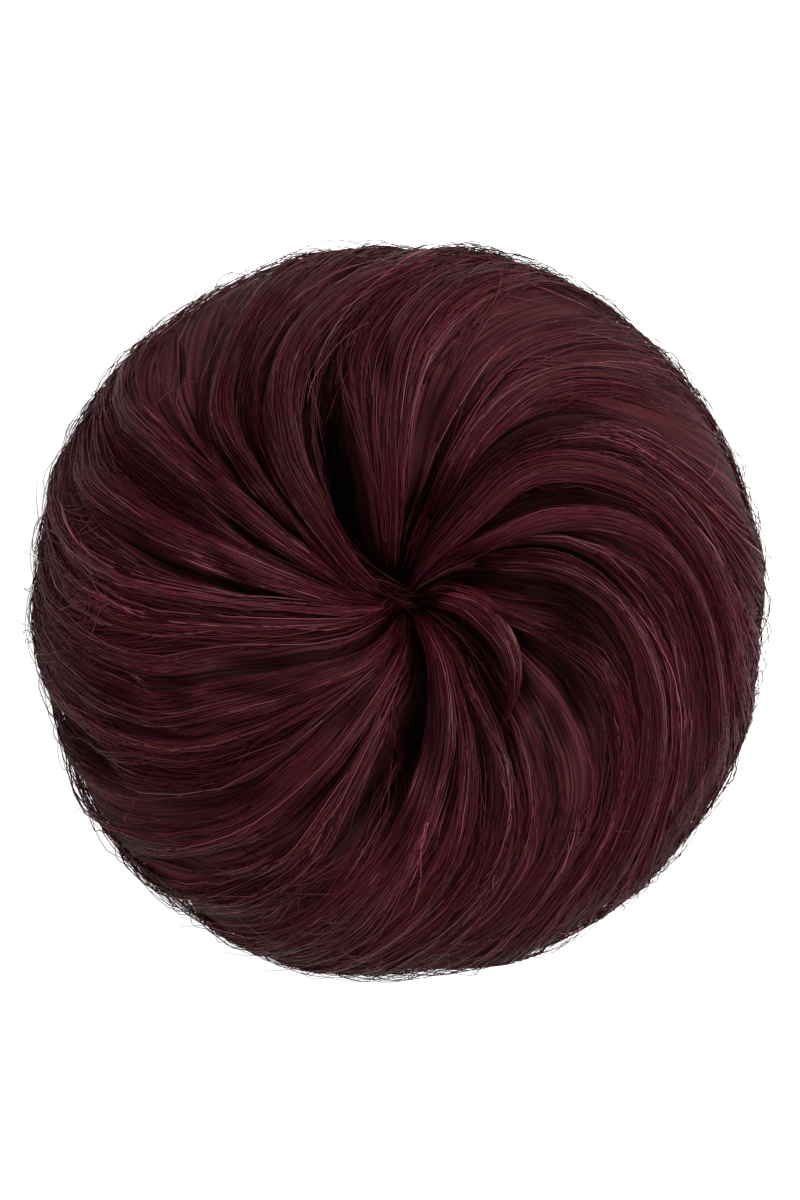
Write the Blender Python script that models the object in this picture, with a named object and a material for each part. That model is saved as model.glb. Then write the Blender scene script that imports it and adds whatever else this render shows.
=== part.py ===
"""Top knot hairpiece: a ring of swirled synthetic hair, sewn round a small elastic band.

The piece lies on its back. Hair rises out of a closed parting in the middle, fans out over
the crown in locks that all turn clockwise, rolls over the rim and runs in underneath to the
band. The hollow at the back is open, for the wearer's own knot of hair.
Metres, +Z up out of the front of the bun, origin at the middle of its footprint.
"""

from collections import namedtuple
from math import pi, radians

import bpy
import numpy as np

MM = 0.001

# Driving dimensions of the bun
OUTER_RADIUS = 60 * MM
HEIGHT = 50.5 * MM
CROWN_RADIUS = 30 * MM
RIM_HEIGHT = 23 * MM
FOOT_OUTER_RADIUS = 45 * MM
FOOT_INNER_RADIUS = 30 * MM

# The parting: a pinched pit on the front, a little off the middle
PARTING_X = 0.6 * MM
PARTING_Y = 1.6 * MM
PIT_RADIUS = 2.5 * MM
PIT_FLOOR = 28 * MM
PIT_POINT = 24.5 * MM

# The elastic band, and the hollow for the wearer's own hair behind it
BAND_RADIUS = 21 * MM
BAND_THICKNESS = 5 * MM
BAND_HEIGHT = 9 * MM
BAND_SEGMENTS = 40
BAND_SIDES = 8
SEAT_CLEARANCE = 0.3 * MM
SEAT_HALF_ANGLE = 50
CEILING_RADIUS = 2.5 * MM
CEILING_HEIGHT = 22 * MM

# Turn of every lock past the last angle that the table gives, in degrees, clockwise
EDGE_SWEEP = 14
SIDE_SWEEP = 20
FOOT_SWEEP = 15

# The way round the section of the ring is told by a station: each whole number is the end
# of one arc, from the pit's floor at 0 to the hollow's ceiling at 7.
CROWN, RIM, FOOT_OUTER, FOOT_INNER, LIP, SEAT, CEILING = range(1, 8)
ROWS_PER_ARC = (9, 9, 5, 1, 2, 4, 5)

# The locks in order round the bun, anticlockwise. Each row gives the lock's direction from
# the parting, in degrees, where it crosses the circles of TABLE_RADII, the depth of the
# groove between it and the next lock, and how far its crest stands above the mean, in mm.
Lock = namedtuple("Lock", "root inner middle outer rim groove lift")
TABLE_RADII = (0.12, 0.3, 0.5, 0.7, 0.9)
LOCKS = (
    Lock(30, 22, 8, -18, -53, 3.0, 0.3),
    Lock(36, 28, 18, -3, -38, 3.0, -0.2),
    Lock(42, 34, 27, 13, -21, 5.0, 0.5),
    Lock(54, 51, 46, 27, -7, 6.0, 0.5),
    Lock(63, 60, 55, 44, 18, 2.0, -0.4),
    Lock(69, 66, 62, 53, 32, 3.0, 0.0),
    Lock(76, 72, 69, 63, 48, 3.0, 0.3),
    Lock(83, 79, 77, 73, 60, 2.0, -0.2),
    Lock(89, 87, 85, 81, 69, 2.0, 0.2),
    Lock(97, 95, 93, 89, 77, 2.0, -0.2),
    Lock(104, 102, 100, 96, 83, 9.0, 0.0),
    Lock(146, 133, 126, 115, 92, 3.0, 0.5),
    Lock(151, 139, 132, 124, 101, 4.0, -0.3),
    Lock(156, 145, 139, 132, 112, 3.0, 0.0),
    Lock(160, 150, 144, 140, 130, 3.0, -0.3),
    Lock(165, 154, 149, 147, 143, 3.0, 0.4),
    Lock(171, 163, 157, 154, 149, 4.0, 0.2),
    Lock(178, 171, 165, 162, 155, 4.0, 0.0),
    Lock(188, 182, 177, 173, 164, 2.0, -0.4),
    Lock(200, 192, 186, 182, 172, 3.0, -0.2),
    Lock(212, 202, 196, 193, 181, 5.0, 0.0),
    Lock(250, 222, 210, 204, 189, 3.0, 0.4),
    Lock(258, 231, 220, 212, 198, 2.0, -0.3),
    Lock(264, 240, 231, 224, 210, 2.0, 0.2),
    Lock(269, 250, 241, 234, 221, 3.0, -0.2),
    Lock(275, 260, 252, 246, 233, 8.0, 0.0),
    Lock(304, 291, 278, 267, 254, 4.0, 0.5),
    Lock(315, 301, 290, 279, 264, 4.0, -0.2),
    Lock(325, 311, 303, 293, 273, 3.0, 0.0),
    Lock(335, 322, 313, 302, 280, 3.0, 0.2),
    Lock(347, 336, 326, 314, 287, 4.0, 0.0),
    Lock(365, 352, 345, 328, 296, 4.0, -0.2),
)
# Where the mesh has its columns between one crest and the next
COLUMN_SHARES = (0.0, 0.28, 0.5, 0.72)

# How much of a groove's depth is left at each station
Fade = namedtuple("Fade", "station share")
GROOVE_FADE = (
    Fade(0.0, 0.0),
    Fade(0.35, 1.0),
    Fade(1.0, 0.8),
    Fade(1.3, 0.35),
    Fade(1.6, 0.25),
    Fade(2.0, 0.2),
    Fade(2.6, 0.2),
    Fade(3.0, 0.0),
    Fade(7.0, 0.0),
)

# Shallow dents of the outline, as seen from the front
Dent = namedtuple("Dent", "angle half_width depth")
DENTS = (
    Dent(88, 9, 1.2),
    Dent(172, 9, 0.9),
    Dent(198, 11, 1.8),
    Dent(274, 11, 1.3),
    Dent(352, 9, 0.7),
)

# Locks that lie on top of the others, each a piece of its own. It follows the row of LOCKS
# that it names, from one station to another, and is widest and thickest in between.
TopLock = namedtuple("TopLock", "name row start end width thickness")
TOP_LOCKS = (
    TopLock("lock_right_low", 0, 0.78, 1.66, 9.5, 2.8),
    TopLock("lock_right", 2, 0.66, 1.66, 7.0, 2.6),
    TopLock("lock_right_high", 3, 0.52, 1.66, 9.0, 3.4),
    TopLock("lock_top_right", 6, 0.52, 1.60, 7.5, 2.6),
    TopLock("lock_top", 9, 0.50, 1.72, 8.0, 2.4),
    TopLock("lock_left_high", 11, 0.46, 1.66, 8.5, 3.4),
    TopLock("lock_left_upper", 13, 0.98, 1.62, 6.0, 2.2),
    TopLock("lock_left", 15, 0.66, 1.92, 8.0, 2.6),
    TopLock("lock_left_lower", 17, 0.60, 1.72, 8.0, 2.4),
    TopLock("lock_low_left", 21, 0.46, 1.66, 10.5, 2.8),
    TopLock("lock_bottom_left", 24, 0.52, 1.66, 10.0, 2.4),
    TopLock("lock_bottom", 26, 0.44, 1.56, 9.0, 3.0),
)
LOCK_SECTIONS = 10
LOCK_GAP = 0.5 * MM
LOCK_END_SHARE = 0.3

# The short lock that curls over the others beside the parting, by its share of the outer
# radius and its direction in degrees
PathPoint = namedtuple("PathPoint", "radius angle")
CURL_NAME = "lock_front_curl"
CURL_PATH = (
    PathPoint(0.16, 4),
    PathPoint(0.22, -6),
    PathPoint(0.29, -19),
    PathPoint(0.35, -31),
    PathPoint(0.39, -42),
    PathPoint(0.42, -54),
)
CURL_WIDTH = 7 * MM
CURL_THICKNESS = 2.8 * MM

HAIR_COLOUR = (0.118, 0.022, 0.034, 1.0)
BAND_COLOUR = (0.030, 0.010, 0.014, 1.0)


def smooth(x, xs, ys):
    """A smooth curve through the points (xs, ys), read at x. The rows of ys may be arrays."""
    xs = np.asarray(xs, float)
    ys = np.asarray(ys, float)
    slope = np.gradient(ys, xs, axis=0)
    x = np.clip(x, xs[0], xs[-1])
    i = np.clip(np.searchsorted(xs, x) - 1, 0, len(xs) - 2)
    span = xs[i + 1] - xs[i]
    t = (x - xs[i]) / span
    return (
        ys[i] * (1 + 2 * t) * (1 - t) ** 2
        + slope[i] * span * t * (1 - t) ** 2
        + ys[i + 1] * t * t * (3 - 2 * t)
        + slope[i + 1] * span * t * t * (t - 1)
    )


def meridian(station):
    """(radius, height) of the ring's section at a station, before any relief."""
    arc = min(int(station), SEAT)
    turn = (station - arc) * pi / 2
    c, s = np.cos(turn), np.sin(turn)
    seat_radius = BAND_THICKNESS / 2 + SEAT_CLEARANCE
    seat_turn = radians(SEAT_HALF_ANGLE)
    edge_radius = BAND_RADIUS + seat_radius * np.cos(seat_turn)
    edge_rise = seat_radius * np.sin(seat_turn)
    if arc < CROWN:
        return CROWN_RADIUS - (CROWN_RADIUS - PIT_RADIUS) * c, PIT_FLOOR + (HEIGHT - PIT_FLOOR) * s
    if arc < RIM:
        return CROWN_RADIUS + (OUTER_RADIUS - CROWN_RADIUS) * s, RIM_HEIGHT + (HEIGHT - RIM_HEIGHT) * c
    if arc < FOOT_OUTER:
        return FOOT_OUTER_RADIUS + (OUTER_RADIUS - FOOT_OUTER_RADIUS) * c, RIM_HEIGHT * (1 - s)
    if arc < FOOT_INNER:
        share = station - FOOT_OUTER
        return FOOT_OUTER_RADIUS + (FOOT_INNER_RADIUS - FOOT_OUTER_RADIUS) * share, 0.0
    if arc < LIP:
        lip_rise = BAND_HEIGHT - edge_rise
        return edge_radius + (FOOT_INNER_RADIUS - edge_radius) * (1 - s), lip_rise * (1 - c)
    if arc < SEAT:
        turn = seat_turn * (2 * (station - LIP) - 1)
        return BAND_RADIUS + seat_radius * np.cos(turn), BAND_HEIGHT + seat_radius * np.sin(turn)
    shoulder = BAND_HEIGHT + edge_rise
    return CEILING_RADIUS + (edge_radius - CEILING_RADIUS) * c, shoulder + (CEILING_HEIGHT - shoulder) * s


def outward(station):
    """The direction out of the hair across the section at a station, as (radial, up)."""
    step = 0.01
    before = np.array(meridian(max(station - step, 0)))
    after = np.array(meridian(min(station + step, RIM)))
    along = after - before
    along /= np.linalg.norm(along)
    return -along[1], along[0]


def station_at(radius_share):
    """The station on the front of the bun at a share of the outer radius."""
    radius = radius_share * OUTER_RADIUS
    if radius < CROWN_RADIUS:
        turn = np.arccos(min(1, (CROWN_RADIUS - radius) / (CROWN_RADIUS - PIT_RADIUS)))
        return turn / (pi / 2)
    return CROWN + np.arcsin((radius - CROWN_RADIUS) / (OUTER_RADIUS - CROWN_RADIUS)) / (pi / 2)


def lock_directions(station):
    """The direction of every lock at a station, in degrees, in the order of LOCKS."""
    table = np.array([lock[:5] for lock in LOCKS], float).T
    rim = table[-1] - EDGE_SWEEP
    side = rim - SIDE_SWEEP
    foot = side - FOOT_SWEEP
    stations = [0, *map(station_at, TABLE_RADII), RIM, FOOT_OUTER, FOOT_INNER, CEILING]
    rows = np.array([table[0], *table, rim, side, foot, foot])
    return smooth(station, stations, rows)


def direction(place, station):
    """The direction at a place between locks, such as 2.5 for midway from row 2 to row 3."""
    every = lock_directions(station)
    every = np.append(every, every[0] + 360)
    turns, place = divmod(place, len(LOCKS))
    return np.interp(place, range(len(every)), every) + 360 * turns


def place_towards(angle, station):
    """The place between locks that lies in a direction, given in degrees."""
    every = lock_directions(station)
    every = np.append(every, every[0] + 360)
    return np.interp((angle - every[0]) % 360 + every[0], every, range(len(every)))


def groove_share(station):
    return np.interp(station, *zip(*GROOVE_FADE))


def crest_height(place, station):
    """How far the crests stand above the mean surface at a place between locks."""
    lifts = [lock.lift for lock in LOCKS]
    lifts.append(lifts[0])
    return np.interp(place % len(LOCKS), range(len(lifts)), lifts) * groove_share(station) * MM


def groove_depth(place, station):
    """How deep the groove between two locks is at a place between them."""
    row = int(place % len(LOCKS))
    across = np.sin(pi * (place % 1)) ** 1.6
    return LOCKS[row].groove * across * groove_share(station) * MM


def dent_depth(angle, station):
    """How far the outline is pressed in, in a direction given in degrees."""
    strength = np.interp(station, (CROWN, RIM, FOOT_OUTER), (0, 1, 0))
    off = [abs((angle - dent.angle + 180) % 360 - 180) / dent.half_width for dent in DENTS]
    dents = [dent.depth * np.exp(-o * o) for dent, o in zip(DENTS, off)]
    return sum(dents) * strength * MM


def hair_point(place, station, height=0.0, angle=None):
    """A point of the hair at a place between locks, or in a given direction, and a height over it."""
    if angle is None:
        angle = direction(place, station)
    radius, up = meridian(station)
    across, rise = outward(station) if station < FOOT_OUTER else (0.0, 0.0)
    radius += across * height - dent_depth(angle, station)
    up += rise * height
    off_middle = max(0.0, 1 - radius / OUTER_RADIUS) if station < RIM else 0.0
    turn = radians(angle)
    return (
        PARTING_X * off_middle + radius * np.cos(turn),
        PARTING_Y * off_middle + radius * np.sin(turn),
        up,
    )


def new_material(name, colour, roughness):
    material = bpy.data.materials.new(name)
    material.use_nodes = True
    shader = material.node_tree.nodes["Principled BSDF"]
    shader.inputs["Base Color"].default_value = colour
    shader.inputs["Roughness"].default_value = roughness
    shader.inputs["Metallic"].default_value = 0.0
    return material


def new_object(name, points, faces, material):
    mesh = bpy.data.meshes.new(name)
    mesh.from_pydata(points, [], faces)
    mesh.validate()
    mesh.shade_smooth()
    mesh.set_sharp_from_angle(angle=radians(50))
    mesh.materials.append(material)
    obj = bpy.data.objects.new(name, mesh)
    bpy.context.scene.collection.objects.link(obj)
    return obj


def band_of_quads(first, second, count):
    """The quads between two closed rows of vertices that start at these indices."""
    return [
        (first + i, first + (i + 1) % count, second + (i + 1) % count, second + i)
        for i in range(count)
    ]


def stations_of_rows():
    stations = [0.0]
    for arc, rows in enumerate(ROWS_PER_ARC):
        stations += [arc + (i + 1) / rows for i in range(rows)]
    return stations


def make_hair_ring(material):
    """The body of hair: locks in relief, fused to one ring with a closed parting."""
    places = [row + share for row in range(len(LOCKS)) for share in COLUMN_SHARES]
    count = len(places)
    points = []
    faces = []
    for station in stations_of_rows():
        for place in places:
            height = crest_height(place, station) - groove_depth(place, station)
            points.append(hair_point(place, station, height))
    rows = len(points) // count
    for row in range(rows - 1):
        faces += band_of_quads((row + 1) * count, row * count, count)
    for first, order in ((0, 1), ((rows - 1) * count, -1)):
        middle = np.mean(points[first : first + count], axis=0)
        points.append((middle[0], middle[1], PIT_POINT if first == 0 else middle[2]))
        for i in range(count):
            corners = (first + i, first + (i + 1) % count, len(points) - 1)
            faces.append(corners[::order])
    return new_object("hair_ring", points, faces, material)


def lock_section(station, middle_angle, width, thickness):
    """The points round one section of a lock that lies on the crests: a low arch."""
    radius = meridian(station)[0]
    arch = (-1.0, -0.55, 0.0, 0.55, 1.0, 0.0)
    points = []
    for i, across in enumerate(arch):
        angle = middle_angle + np.degrees(across * width / 2 / radius)
        place = place_towards(angle, station)
        rise = thickness * (1 - 0.85 * across * across) if i < len(arch) - 1 else 0.0
        height = crest_height(place, station) + LOCK_GAP + rise
        points.append(hair_point(place, station, height, angle))
    return points


def make_lock(name, stations, angles, width, thickness, material):
    """A lock swept along a path, narrow at both ends."""
    points = []
    for i, (station, angle) in enumerate(zip(stations, angles)):
        along = i / (len(stations) - 1)
        full = LOCK_END_SHARE + (1 - LOCK_END_SHARE) * np.sin(pi * along) ** 0.7
        points += lock_section(station, angle, width * full, thickness * full)
    sides = len(points) // len(stations)
    faces = []
    for i in range(len(stations) - 1):
        faces += band_of_quads((i + 1) * sides, i * sides, sides)
    last = len(points) - sides
    faces.append(tuple(range(sides)))
    faces.append(tuple(range(last, last + sides))[::-1])
    return new_object(name, points, faces, material)


def make_top_locks(material):
    for lock in TOP_LOCKS:
        stations = np.linspace(lock.start, lock.end, LOCK_SECTIONS)
        angles = [direction(lock.row, station) for station in stations]
        make_lock(lock.name, stations, angles, lock.width * MM, lock.thickness * MM, material)


def make_front_curl(material):
    along = np.linspace(0, len(CURL_PATH) - 1, LOCK_SECTIONS)
    knots = range(len(CURL_PATH))
    radii = [smooth(x, knots, [point.radius for point in CURL_PATH]) for x in along]
    angles = [smooth(x, knots, [point.angle for point in CURL_PATH]) for x in along]
    stations = [station_at(radius) for radius in radii]
    make_lock(CURL_NAME, stations, angles, CURL_WIDTH, CURL_THICKNESS, material)


def make_elastic_band(material):
    bpy.ops.mesh.primitive_torus_add(
        major_segments=BAND_SEGMENTS,
        minor_segments=BAND_SIDES,
        major_radius=BAND_RADIUS,
        minor_radius=BAND_THICKNESS / 2,
        location=(0, 0, BAND_HEIGHT),
    )
    band = bpy.context.object
    band.name = "elastic_band"
    band.data.shade_smooth()
    band.data.materials.append(material)


def main():
    for obj in list(bpy.data.objects):
        bpy.data.objects.remove(obj)
    hair = new_material("hair_fibre", HAIR_COLOUR, 0.45)
    elastic = new_material("elastic_cover", BAND_COLOUR, 0.8)
    make_hair_ring(hair)
    make_top_locks(hair)
    make_front_curl(hair)
    make_elastic_band(elastic)


main()
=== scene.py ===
"""Looks of the top knot hairpiece: strands of hair over a dark under-mass, on a pale floor.

The shape of the bun is worked out as in the part's source: a station tells how far round the
section of the ring a point is, and a place tells which lock it belongs to.
"""

from collections import namedtuple
from math import pi, radians

import bpy
import numpy as np
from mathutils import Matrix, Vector


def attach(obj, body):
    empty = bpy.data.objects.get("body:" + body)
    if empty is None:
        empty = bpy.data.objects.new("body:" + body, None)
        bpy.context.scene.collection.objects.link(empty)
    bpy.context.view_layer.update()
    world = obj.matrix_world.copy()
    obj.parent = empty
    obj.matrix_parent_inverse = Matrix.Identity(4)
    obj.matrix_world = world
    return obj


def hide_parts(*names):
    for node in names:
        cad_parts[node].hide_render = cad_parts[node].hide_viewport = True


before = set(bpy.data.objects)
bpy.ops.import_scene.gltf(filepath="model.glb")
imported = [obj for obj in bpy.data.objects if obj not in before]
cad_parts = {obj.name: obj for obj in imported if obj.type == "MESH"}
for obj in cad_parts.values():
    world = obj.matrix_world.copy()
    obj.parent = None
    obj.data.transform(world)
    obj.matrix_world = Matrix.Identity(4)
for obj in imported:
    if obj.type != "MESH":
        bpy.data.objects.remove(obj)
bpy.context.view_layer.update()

MM = 0.001

# Driving dimensions of the bun, as in the part
OUTER_RADIUS = 60 * MM
HEIGHT = 50.5 * MM
CROWN_RADIUS = 30 * MM
RIM_HEIGHT = 23 * MM
FOOT_OUTER_RADIUS = 45 * MM
FOOT_INNER_RADIUS = 30 * MM
PARTING_X = 0.6 * MM
PARTING_Y = 1.6 * MM
PIT_RADIUS = 2.5 * MM
PIT_FLOOR = 28 * MM
BAND_RADIUS = 21 * MM
BAND_THICKNESS = 5 * MM
BAND_HEIGHT = 9 * MM
SEAT_CLEARANCE = 0.3 * MM
SEAT_HALF_ANGLE = 50
CEILING_RADIUS = 2.5 * MM
CEILING_HEIGHT = 22 * MM
EDGE_SWEEP = 14
SIDE_SWEEP = 20
FOOT_SWEEP = 15
CROWN, RIM, FOOT_OUTER, FOOT_INNER, LIP, SEAT, CEILING = range(1, 8)

# The locks: directions of each one's crest at five radii, in degrees, then the depth of the groove
# after it and the height of the crest, in millimetres. The radii are shares of the outer radius.
Lock = namedtuple("Lock", "root inner middle outer rim groove lift")
TABLE_RADII = (0.12, 0.3, 0.5, 0.7, 0.9)
LOCKS = (
    Lock(30, 22, 8, -18, -53, 3.0, 0.3),
    Lock(36, 28, 18, -3, -38, 3.0, -0.2),
    Lock(42, 34, 27, 13, -21, 5.0, 0.5),
    Lock(54, 51, 46, 27, -7, 6.0, 0.5),
    Lock(63, 60, 55, 44, 18, 2.0, -0.4),
    Lock(69, 66, 62, 53, 32, 3.0, 0.0),
    Lock(76, 72, 69, 63, 48, 3.0, 0.3),
    Lock(83, 79, 77, 73, 60, 2.0, -0.2),
    Lock(89, 87, 85, 81, 69, 2.0, 0.2),
    Lock(97, 95, 93, 89, 77, 2.0, -0.2),
    Lock(104, 102, 100, 96, 83, 9.0, 0.0),
    Lock(146, 133, 126, 115, 92, 3.0, 0.5),
    Lock(151, 139, 132, 124, 101, 4.0, -0.3),
    Lock(156, 145, 139, 132, 112, 3.0, 0.0),
    Lock(160, 150, 144, 140, 130, 3.0, -0.3),
    Lock(165, 154, 149, 147, 143, 3.0, 0.4),
    Lock(171, 163, 157, 154, 149, 4.0, 0.2),
    Lock(178, 171, 165, 162, 155, 4.0, 0.0),
    Lock(188, 182, 177, 173, 164, 2.0, -0.4),
    Lock(200, 192, 186, 182, 172, 3.0, -0.2),
    Lock(212, 202, 196, 193, 181, 5.0, 0.0),
    Lock(250, 222, 210, 204, 189, 3.0, 0.4),
    Lock(258, 231, 220, 212, 198, 2.0, -0.3),
    Lock(264, 240, 231, 224, 210, 2.0, 0.2),
    Lock(269, 250, 241, 234, 221, 3.0, -0.2),
    Lock(275, 260, 252, 246, 233, 8.0, 0.0),
    Lock(304, 291, 278, 267, 254, 4.0, 0.5),
    Lock(315, 301, 290, 279, 264, 4.0, -0.2),
    Lock(325, 311, 303, 293, 273, 3.0, 0.0),
    Lock(335, 322, 313, 302, 280, 3.0, 0.2),
    Lock(347, 336, 326, 314, 287, 4.0, 0.0),
    Lock(365, 352, 345, 328, 296, 4.0, -0.2),
)

# The share of the locks' relief that is left at each station
Fade = namedtuple("Fade", "station share")
GROOVE_FADE = (
    Fade(0.0, 0.0),
    Fade(0.35, 1.0),
    Fade(1.0, 0.8),
    Fade(1.3, 0.35),
    Fade(1.6, 0.25),
    Fade(2.0, 0.2),
    Fade(2.6, 0.2),
    Fade(3.0, 0.0),
    Fade(7.0, 0.0),
)

# Strands turn a little more than the locks by the pit, and a little less by the rim, in degrees
Ease = namedtuple("Ease", "station turn")
SWIRL_EASE = (
    Ease(0.0, 14),
    Ease(0.35, 6),
    Ease(0.6, 0),
    Ease(1.35, 0),
    Ease(1.53, 1.5),
    Ease(2.0, 3),
    Ease(7.0, 3),
)

# The strands make the grooves deeper and narrower than the plain solid does, but shallower by the rim
GROOVE_GAIN = 1.15
GAIN_AT_RIM = 0.6
GROOVE_SHARPNESS = 2.4

# A groove this deep draws nearly all the hair beside it to the crests
FULL_PULL_GROOVE = 4.5 * MM
PULL_LIMITS = (0.25, 0.75)
GATHERINGS = 2

# Between these stations the hair turns from distinct locks into one even coat
CALMING = (1.0, 1.5)

# The hair closes in over the pit, and its roots come up out of it
PINCH_STATION = 0.55
PINCH_SHARE = 0.25
ROOT_DROP = 5 * MM
ROOT_LENGTH = 0.07

# Where the outline is pressed in: direction and half width in degrees, depth in millimetres
Dent = namedtuple("Dent", "angle half_width depth")
DENTS = (
    Dent(88, 9, 1.2),
    Dent(172, 9, 0.9),
    Dent(198, 11, 1.8),
    Dent(274, 11, 1.3),
    Dent(352, 9, 0.7),
)

# The locks that lie over the others: row of the lock below, stations of both ends, and sizes in
# millimetres. They are as in the part, but the photo shows lock_top_right and lock_left a little
# off their solids: the part has them on rows 6 and 15, the first from station 0.52 and the second
# 8 mm wide.
TopLock = namedtuple("TopLock", "name row start end width thickness")
TOP_LOCKS = (
    TopLock("lock_right_low", 0, 0.78, 1.66, 9.5, 2.8),
    TopLock("lock_right", 2, 0.66, 1.66, 7.0, 2.6),
    TopLock("lock_right_high", 3, 0.52, 1.66, 9.0, 3.4),
    TopLock("lock_top_right", 5.4, 0.80, 1.60, 7.5, 2.6),
    TopLock("lock_top", 9, 0.50, 1.72, 8.0, 2.4),
    TopLock("lock_left_high", 11, 0.46, 1.66, 8.5, 3.4),
    TopLock("lock_left_upper", 13, 0.98, 1.62, 6.0, 2.2),
    TopLock("lock_left", 14.8, 0.66, 1.92, 6.5, 2.6),
    TopLock("lock_left_lower", 17, 0.60, 1.72, 8.0, 2.4),
    TopLock("lock_low_left", 21, 0.46, 1.66, 10.5, 2.8),
    TopLock("lock_bottom_left", 24, 0.52, 1.66, 10.0, 2.4),
    TopLock("lock_bottom", 26, 0.44, 1.56, 9.0, 3.0),
)
LOCK_GAP = 0.5 * MM

# The short lock beside the parting: shares of the outer radius, and directions in degrees
PathPoint = namedtuple("PathPoint", "radius angle")
CURL_NAME = "lock_front_curl"
CURL_PATH = (
    PathPoint(0.08, 12),
    PathPoint(0.16, 4),
    PathPoint(0.22, -6),
    PathPoint(0.29, -19),
    PathPoint(0.35, -31),
    PathPoint(0.39, -42),
    PathPoint(0.42, -54),
)
CURL_WIDTH = 7 * MM
CURL_THICKNESS = 2.8 * MM
# Painted light: the curl's hairs are painted paler, as a lit crest
CURL_PAINTED_LIGHT = 1.35

# Deep places between the locks. Each runs from a start to an end, given by their shares of the
# outer radius and their directions in degrees; its half width is in millimetres.
Hollow = namedtuple("Hollow", "start_radius start_angle end_radius end_angle half_width strength")
HOLLOWS = (
    Hollow(0.08, 118, 0.50, 107, 2.2, 1.0),
    Hollow(0.16, 82, 0.42, 60, 3.0, 1.0),
    Hollow(0.38, 62, 0.70, 46, 2.8, 1.0),
    Hollow(0.40, 42, 0.64, 28, 1.6, 0.6),
    Hollow(0.17, 38, 0.46, 17, 2.2, 1.0),
    Hollow(0.46, 17, 0.67, 2, 1.8, 0.7),
    Hollow(0.40, 3, 0.48, -12, 2.8, 1.0),
    Hollow(0.44, -18, 0.56, -31, 1.2, 0.9),
    Hollow(0.46, -32, 0.56, -39, 1.3, 0.9),
    Hollow(0.48, -44, 0.62, -49, 1.3, 0.8),
    Hollow(0.66, -53, 0.74, -57, 1.2, 0.6),
    Hollow(0.42, -70, 0.47, -73, 1.0, 0.7),
    Hollow(0.17, -20, 0.41, -47, 3.0, 1.0),
    Hollow(0.08, -68, 0.42, -79, 2.6, 1.0),
    Hollow(0.30, 205, 0.57, 192, 1.5, 0.9),
    Hollow(0.42, 207, 0.53, 203, 0.9, 0.7),
    Hollow(0.60, 204, 0.68, 197, 1.2, 0.9),
    Hollow(0.73, 198, 0.81, 194, 1.0, 0.6),
    Hollow(0.50, 215, 0.68, 206, 1.2, 0.8),
    Hollow(0.63, 213, 0.81, 201, 1.1, 0.9),
    Hollow(0.63, 222, 0.77, 214, 1.2, 0.5),
    Hollow(0.57, 234, 0.84, 219, 1.5, 1.0),
    Hollow(0.77, 228, 0.83, 225, 1.0, 0.5),
    Hollow(0.70, 242, 0.87, 230, 1.4, 1.0),
    Hollow(0.90, 231, 0.97, 225, 1.6, 1.0),
    Hollow(0.50, 246, 0.69, 239, 1.6, 0.8),
    Hollow(0.78, 245, 0.89, 234, 1.8, 0.5),
    Hollow(0.88, 212, 0.96, 198, 1.4, 0.6),
    Hollow(0.34, 145, 0.50, 138, 1.2, 0.8),
    Hollow(0.50, 138, 0.67, 136, 2.0, 1.0),
    Hollow(0.72, 137, 0.80, 134, 1.3, 0.6),
    Hollow(0.87, 134, 0.94, 131, 1.2, 0.8),
    Hollow(0.40, 153, 0.68, 143, 1.4, 0.8),
    Hollow(0.56, 155, 0.90, 150, 3.4, 1.0),
    Hollow(0.40, 170, 0.55, 160, 1.3, 0.8),
    Hollow(0.60, 168, 0.80, 162, 2.2, 0.9),
    Hollow(0.45, 128, 0.64, 123, 1.2, 0.5),
    Hollow(0.64, 123, 0.86, 112, 1.3, 0.9),
    Hollow(0.74, 124, 0.82, 119, 1.0, 0.7),
    Hollow(0.47, 83, 0.66, 78, 1.5, 0.7),
    Hollow(0.60, 93, 0.76, 93, 1.3, 0.6),
    Hollow(0.03, 95, 0.13, 88, 2.4, 1.0),
    Hollow(0.32, 223, 0.48, 205, 1.5, 0.8),
    Hollow(0.50, 273, 0.67, 267, 1.6, 0.6),
    Hollow(0.22, 250, 0.36, 240, 1.3, 0.6),
    Hollow(0.06, 15, 0.17, 36, 1.8, 0.8),
    Hollow(0.35, 230, 0.80, 218, 6.0, 0.4),
    Hollow(0.45, 132, 0.82, 124, 5.0, 0.5),
)
HOLLOW_STEPS = 14
HOLLOW_DEPTH = 4.0 * MM
HOLLOW_SHADE = 1.1
PUSHES = 2
PUSH_REACH = 1.9 * MM

# Colours of the hair, linear
Shade = namedtuple("Shade", "share red green blue")
HAIR_SHADES = (
    Shade(0.36, 0.0335, 0.0038, 0.0070),
    Shade(0.22, 0.0286, 0.0029, 0.0081),
    Shade(0.17, 0.0304, 0.0049, 0.0045),
    Shade(0.14, 0.0134, 0.0020, 0.0030),
    Shade(0.11, 0.0741, 0.0184, 0.0246),
)
COMMON_SHADE = 0.6
RIPPLE = 0.18
UNDER_COLOUR = (0.033, 0.0064, 0.0084, 1.0)
FLOOR_COLOUR = (0.94, 0.94, 0.94, 1.0)

# Camera: straight above, framed as the photograph is
PHOTO_WIDTH = 800
PHOTO_HEIGHT = 1200
METRES_PER_PIXEL = 120 * MM / 735
OUTLINE_CENTRE_PIXEL = (398, 610)
CAMERA_DISTANCE = 0.75
SENSOR_HEIGHT = 36.0

SEED = 11
random = np.random.default_rng(SEED)


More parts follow.
